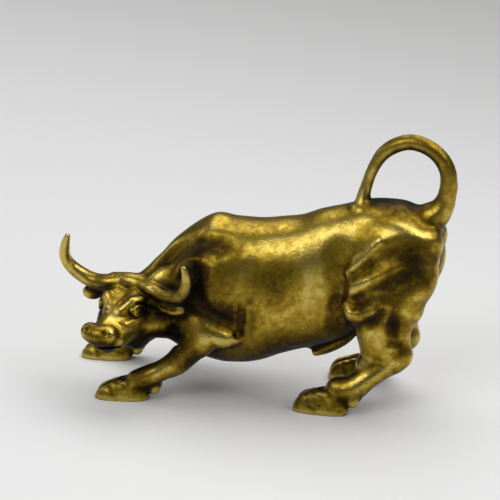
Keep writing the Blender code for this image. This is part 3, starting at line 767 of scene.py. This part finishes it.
paintedShade = {
    # Painted shade, patches painted darker where shade falls: place in parts, radius, strength
    "insideElbow": ((-54, -50, 60), 26, 0.9),
    "mouth": (onHead(66, 2, -24), 17, 0.6),
    "jaw": (onHead(28, 22, -50), 26, 0.3),
    "eye": (onHead(27, 22, -10), 11, 0.2),
    "underMuzzle": (onHead(76, 2, -8), 17, 0.5),
    "farHorn": (onHead(5, -36, -10), 22, 0.25),
    "withers": ((-48, -26, 150), 26, 0.4),
    "behindHorn": ((-42, -46, 116), 46, 0.55),
    "aboveArm": ((-20, -52, 92), 20, 0.4),
    "behindElbow": ((4, -50, 92), 22, 0.45),
    "belowRibs": ((32, -50, 130), 32, 0.45),
    "belly": ((40, -30, 42), 46, 0.35),
    "tail": ((165, 0, 258), 75, 0.5),
    "stifle": ((118, -50, 108), 22, 0.25),
    "underHip": ((158, -44, 166), 26, 0.5),
    "betweenRidges": ((126, -48, 154), 12, 0.4),
    "flank": ((94, -42, 148), 26, 0.25),
    "furrowStart": ((120, -52, 119), 15, 0.45),
    "furrow": ((148, -50, 134), 24, 0.5),
    "furrowEnd": ((174, -40, 148), 22, 0.4),
    "belowStifle": ((134, -50, 103), 15, 0.4),
    "gaskin": ((152, -40, 92), 13, 0.3),
    "hock": ((158, -32, 66), 14, 0.4),
    "pastern": ((-96, -58, 22), 14, 0.3),
    "hindPastern": ((100, -48, 24), 14, 0.3),
    "tailRoot": ((150, -4, 202), 26, 0.3),
}

paintedHighlights = {
    # Painted highlights, patches painted brighter where light catches the brass, in the same way
    "forehead": (onHead(16, -2, 0), 18, 0.2),
    "nose": (onHead(46, 0, -2), 20, 0.25),
    "hip": ((160, -32, 186), 24, 0.3),
    "neck": ((-84, -36, 116), 20, 0.2),
    "arm": ((-24, -56, 74), 22, 0.2),
}


lowAndTopShade = {
    "low": 0.22,  # on the feet, fading to nothing at lowEnd
    "lowEnd": 55,
    # Painted shade: surfaces that face up, along the top of the back, are painted darker
    "level": 0.25,  # where the surface faces up, from levelStart
    "levelStart": 0.7,
    "edge": 0.7,  # below 1, a patch stays dark further out
}


def paintedShading(data):
    # The painted shade and highlight patches, with the brass darker low on the legs and painted
    # shade along the top of the back.
    place, normal = placesAndNormals(data)
    out = lowAndTopShade["low"] * np.clip(1 - place[:, 2] / lowAndTopShade["lowEnd"], 0, 1)
    level = (normal[:, 2] - lowAndTopShade["levelStart"]) / (1 - lowAndTopShade["levelStart"])
    out += lowAndTopShade["level"] * np.clip(level, 0, 1)
    # Painted shade patches darken the brass, painted highlight patches brighten it
    for patches, sign in ((paintedShade, 1), (paintedHighlights, -1)):
        for middle, radius, strength in patches.values():
            away = np.linalg.norm(place - np.array(middle), axis=1)
            out += sign * strength * np.clip(1 - away / radius, 0, 1) ** lowAndTopShade["edge"]
    return out


def storeAttribute(data, name, values):
    made = data.attributes.new(name, "FLOAT", "POINT")
    made.data.foreach_set("value", np.asarray(values, np.float32))


class Value:
    # A socket's number. Using + - or * on it adds a Math node.
    def __init__(self, nodes, socket):
        self.nodes, self.socket = nodes, socket

    def math(self, operation, first, second, clamp=False):
        settings = {"operation": operation, "use_clamp": clamp}
        return self.nodes.add("ShaderNodeMath", settings, {0: first, 1: second})

    def __add__(self, other):
        return self.math("ADD", self, other)

    def __sub__(self, other):
        return self.math("SUBTRACT", self, other)

    def __rsub__(self, other):
        return self.math("SUBTRACT", other, self)

    def __mul__(self, other):
        return self.math("MULTIPLY", self, other)

    __radd__, __rmul__ = __add__, __mul__

    def clamped(self):
        return self.math("ADD", self, 0.0, clamp=True)

    def between(self, low, high):
        # 0 at low, 1 at high, eased.
        return self.nodes.add("ShaderNodeMapRange", {"interpolation_type": "SMOOTHSTEP"},
                              {"Value": self, "From Min": low, "From Max": high})


class Nodes:
    def __init__(self, name):
        self.material = bpy.data.materials.new(name)
        self.material.use_nodes = True
        self.tree = self.material.node_tree
        self.tree.nodes.clear()

    def add(self, kind, settings=None, inputs=None, output=0):
        node = self.tree.nodes.new(kind)
        for name, value in (settings or {}).items():
            if name == "stops":
                self.setStops(node.color_ramp, value)
            else:
                setattr(node, name, value)
        for name, value in (inputs or {}).items():
            if isinstance(value, Value):
                self.tree.links.new(value.socket, node.inputs[name])
            else:
                node.inputs[name].default_value = value
        return Value(self, node.outputs[output]) if node.outputs else node

    def setStops(self, ramp, stops):
        for end in (0, -1):
            position, colour = stops[end]
            ramp.elements[end].position, ramp.elements[end].color = position, (*colour, 1)
        for position, colour in stops[1:-1]:
            ramp.elements.new(position).color = (*colour, 1)

    def ramp(self, value, stops):
        return self.add("ShaderNodeValToRGB", {"stops": stops}, {"Fac": value})

    def mixed(self, first, second, share):
        # Two colours by a share, where 0 is the first.
        inputs = {0: share, 6: first, 7: second}
        return self.add("ShaderNodeMix", {"data_type": "RGBA"}, inputs, output=2)

    def noise(self, coords, scale, detail, roughness):
        return self.add("ShaderNodeTexNoise", {}, {
            "Vector": coords, "Scale": scale, "Detail": detail, "Roughness": roughness})

    def cells(self, coords, scale, low, high):
        # 0 at the middle of each cell, 1 beyond its spot.
        away = self.add("ShaderNodeTexVoronoi", {}, {"Vector": coords, "Scale": scale})
        return away.between(low, high)

    def attribute(self, name):
        return self.add("ShaderNodeAttribute", {"attribute_name": name}, output=2)

    def objectPlace(self):
        return self.add("ShaderNodeTexCoord", output=3)

    def finished(self, shader):
        self.add("ShaderNodeOutputMaterial", {}, {"Surface": shader})
        return self.material


brassLooks = {
    "pale": (0.56, 0.42, 0.10),  # rubbed ridges, and where the painted highlights are
    "gold": (0.38, 0.26, 0.028),
    "olive": (0.19, 0.118, 0.009),
    "brown": (0.052, 0.029, 0.003),
    "dark": (0.010, 0.006, 0.002),  # deepest recesses
    "dull": (0.24, 0.22, 0.07),
    "paleShare": 0.45,  # of the pale brass on the sharpest ridges
    "dullShare": 0.25,  # of the dull brass in blotches
    "roughness": 0.29,
    "roughWithDarkening": 0.28,
    "roughSpeck": 0.16,
    "metalLoss": 0.1,  # under the thickest patina and painted shade
    "bump": 0.6,
    "bumpDepth": 0.00018,  # metres
}

brassNoise = {
    # How many to a metre, detail, roughness
    "blotch": (60, 4, 0.6),
    "speck": (420, 4, 0.65),
    "grain": (1700, 3, 0.6),
}

brassCells = {
    # How many to a metre, and from where to where each one's edge fades
    "pit": (700, 0.05, 0.4),
    "spot": (300, 0.05, 0.17),
}

brassRelief = {
    # How much of the bump's height comes from each
    "grain": 0.5,
    "speck": 0.7,
    "pit": 0.25,
}

brassPatinaAndShade = {
    # How much each of these darkens the brass. Creases, spots, specks and blotches are patina,
    # ridges are wear, hollow is partly patina and partly painted shade, and shade, under and the
    # painted patches are painted shade and highlights
    "crease": 0.6,
    "hollow": 0.55,
    "shade": 0.55,
    "under": 0.6,
    "stain": 1.0,
    "ridge": -0.3,
    "spot": 0.4,
    "speck": 0.65,
    "blotch": 0.4,
    "everywhere": 0.06,
}


def brassMaterial():
    looks, shares, relief = brassLooks, brassPatinaAndShade, brassRelief
    nodes = Nodes("castBrass")
    coords = nodes.objectPlace()
    blotch, speck, grain = (nodes.noise(coords, *values) for values in brassNoise.values())
    pits, betweenSpots = (nodes.cells(coords, *values) for values in brassCells.values())
    # The darkening: patina and painted shade together, with the painted highlights taking some away
    patinaAndShade = (1 - betweenSpots) * blotch.between(0.42, 0.62) * shares["spot"]
    patinaAndShade += (speck - 0.5) * shares["speck"] + (blotch - 0.5) * shares["blotch"]
    for name in ("crease", "hollow", "shade", "under", "stain", "ridge"):
        patinaAndShade += nodes.attribute(name) * shares[name]
    patinaAndShade = (patinaAndShade + shares["everywhere"]).clamped()
    colour = nodes.ramp(patinaAndShade, [(0.0, looks["pale"]), (0.14, looks["gold"]), (0.36, looks["olive"]),
                               (0.62, looks["brown"]), (0.95, looks["dark"])])
    rubbing = nodes.attribute("ridge").between(0.5, 1.0) * looks["paleShare"]
    colour = nodes.mixed(colour, (*looks["pale"], 1), rubbing)
    dulling = blotch.between(0.55, 0.75) * looks["dullShare"]
    colour = nodes.mixed(colour, (*looks["dull"], 1), dulling)
    rough = looks["roughness"] + patinaAndShade * looks["roughWithDarkening"] + (speck - 0.5) * looks["roughSpeck"]
    height = grain * relief["grain"] + speck * relief["speck"] + pits * relief["pit"]
    bump = nodes.add("ShaderNodeBump", {}, {
        "Strength": looks["bump"], "Distance": looks["bumpDepth"], "Height": height})
    shader = nodes.add("ShaderNodeBsdfPrincipled", {}, {
        "Base Color": colour, "Roughness": rough.clamped(),
        "Metallic": 1 - patinaAndShade * looks["metalLoss"], "Normal": bump})
    return nodes.finished(shader)


def makeBull():
    form = bullForm()
    data = skinMesh(form)
    for name, values in hollowness(data, form).items():
        storeAttribute(data, name, values)
    storeAttribute(data, "ridge", ridgeHeight(data))
    # Painted shade and highlights, for the brass material
    storeAttribute(data, "stain", paintedShading(data))
    data.transform(toParts().inverted())
    data.shade_smooth()
    data.materials.append(brassMaterial())
    bull = bpy.data.objects.new("castBull", data)
    bpy.context.scene.collection.objects.link(bull)
    triangles = sum(len(face.vertices) - 2 for face in data.polygons)
    print("bull:", triangles, "triangles")
    return bull


bull = makeBull()
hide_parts("bull")
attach(bull, "root")


stageLooks = {
    "floor": (0.80, 0.80, 0.80),
    "floorPaintedShade": (0.47, 0.47, 0.465),
    "fall": (0.05, 0.75),  # metres behind the bull where the floor's painted shade begins and ends
    "fallSlant": 0.6,  # sooner on the right
    "glow": 0.03,  # painted light, a faint glow of the floor for the light from the rest of the room
    "roughness": 0.3,
    "shine": 0.35,
    "floorSize": 6.0,
    "front": -2.5,  # metres, on the camera's side
    "wall": 2.2,  # metres behind the bull
    "wallHeight": 0.7,
    "bend": 0.4,
    "bendSteps": 12,
    "room": 0.08,  # strength of the light from all round
}


def stageMaterial():
    looks = stageLooks
    nodes = Nodes("paleFloor")
    inputs = {0: nodes.objectPlace()}
    across, back = (nodes.add("ShaderNodeSeparateXYZ", {}, inputs, output=axis) for axis in (0, 1))
    # Painted shade: the floor is painted darker towards the back and the right, as the light falls
    # off
    far = (back + across * looks["fallSlant"]).between(*looks["fall"])
    colour = nodes.mixed((*looks["floor"], 1), (*looks["floorPaintedShade"], 1), far)
    # The floor glows a little as well, painted light
    shader = nodes.add("ShaderNodeBsdfPrincipled", {}, {
        "Base Color": colour, "Roughness": looks["roughness"], "Specular IOR Level": looks["shine"],
        "Emission Color": (1, 1, 1, 1), "Emission Strength": looks["glow"]})
    return nodes.finished(shader)


def makeFloor():
    # A sheet that runs back level and then curves up behind.
    half, wall, turn = stageLooks["floorSize"] / 2, stageLooks["wall"], stageLooks["bend"]
    mesh = bmesh.new()
    profile = [(stageLooks["front"], 0.0), (wall - turn, 0.0)]
    for step in range(1, stageLooks["bendSteps"] + 1):
        angle = math.radians(90 * step / stageLooks["bendSteps"])
        profile.append((wall - turn + turn * math.sin(angle), turn - turn * math.cos(angle)))
    profile.append((wall, stageLooks["wallHeight"]))
    verts = [mesh.verts.new((-half, y, z)) for y, z in profile]
    edges = [mesh.edges.new(pair) for pair in zip(verts, verts[1:])]
    made = bmesh.ops.extrude_edge_only(mesh, edges=edges)
    moved = [item for item in made["geom"] if isinstance(item, bmesh.types.BMVert)]
    bmesh.ops.translate(mesh, verts=moved, vec=(2 * half, 0, 0))
    bmesh.ops.recalc_face_normals(mesh, faces=mesh.faces)
    data = bpy.data.meshes.new("floor")
    mesh.to_mesh(data)
    mesh.free()
    data.shade_smooth()
    data.materials.append(stageMaterial())
    floor = bpy.data.objects.new("floor", data)
    bpy.context.scene.collection.objects.link(floor)


lights = {
    # Name: place, what it points at, width, depth, watts
    "front": ((-0.45, -0.85, 0.98), (0, 0, 0.04), 1.0, 0.7, 5.6),
    "over": ((0.2, 0.55, 1.4), (0, -0.15, 0), 2.0, 1.3, 21.0),
    "side": ((0.95, -0.25, 0.98), (0, 0, 0.05), 0.7, 0.6, 4.5),
    "window": ((-1.3, 0.1, 0.75), (0, 0, 0.05), 0.6, 0.9, 1.6),
}


def makeLights():
    for name, (place, target, width, depth, watts) in lights.items():
        lamp = bpy.data.lights.new(name, "AREA")
        lamp.shape, lamp.size, lamp.size_y, lamp.energy = "RECTANGLE", width, depth, watts
        holder = bpy.data.objects.new(name, lamp)
        holder.location = place
        towards = Vector(target) - Vector(place)
        holder.rotation_euler = towards.to_track_quat("-Z", "Y").to_euler()
        bpy.context.scene.collection.objects.link(holder)
    world = bpy.data.worlds.new("room")
    world.use_nodes = True
    sky = world.node_tree.nodes["Background"]
    sky.inputs["Color"].default_value = (1, 1, 1, 1)
    sky.inputs["Strength"].default_value = stageLooks["room"]
    bpy.context.scene.world = world
    bpy.context.scene.view_settings.view_transform = "Standard"


view = {
    "place": (0.15613, -0.74121, 0.33030),
    "azimuth": 12.0,  # degrees round from straight in front
    "elevation": 20.0,
    "lens": 165.6,
    "sensor": 36.0,
    "clip": (0.01, 20.0),
}


def makeCamera():
    lens = bpy.data.cameras.new("camera")
    lens.lens, lens.sensor_width = view["lens"], view["sensor"]
    lens.clip_start, lens.clip_end = view["clip"]
    camera = bpy.data.objects.new("camera", lens)
    around, down = math.radians(view["azimuth"]), math.radians(view["elevation"])
    level = math.cos(down)
    ahead = Vector((-math.sin(around) * level, math.cos(around) * level, -math.sin(down)))
    camera.rotation_euler = ahead.to_track_quat("-Z", "Y").to_euler()
    camera.location = view["place"]
    bpy.context.scene.collection.objects.link(camera)
    bpy.context.scene.camera = camera


makeFloor()
makeLights()
makeCamera()
print("stage ready")
